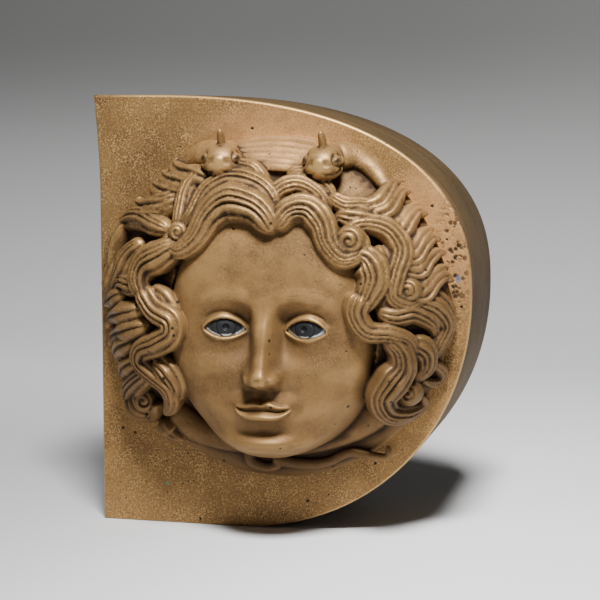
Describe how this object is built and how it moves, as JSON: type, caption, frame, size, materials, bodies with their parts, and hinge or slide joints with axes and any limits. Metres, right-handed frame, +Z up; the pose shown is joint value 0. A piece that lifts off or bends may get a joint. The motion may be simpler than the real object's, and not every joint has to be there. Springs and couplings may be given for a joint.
{
  "type": "gorgon-head pole ornament",
  "caption": "Cast bronze D-shaped socket fitting, open at the back, with a gorgon's head in high relief on its front plate and silver inlaid eyes.",
  "frame": {"origin": "middle of the bounding box, at the flat underside", "axes": "+Z up, the head faces -Y, the open socket faces +Y, and the straight side faces -X"},
  "size_m": [0.163, 0.1094, 0.184],
  "materials": {
    "bronze": "warm golden-brown patina, satin, with dark recesses and small corrosion pits",
    "silver": "tarnished silver, dark in the middle and bright at its lower edge"
  },
  "bodies": {
    "root": {"casting": "bronze", "eye_inlay_left": "silver", "eye_inlay_right": "silver"}
  },
  "joints": []
}
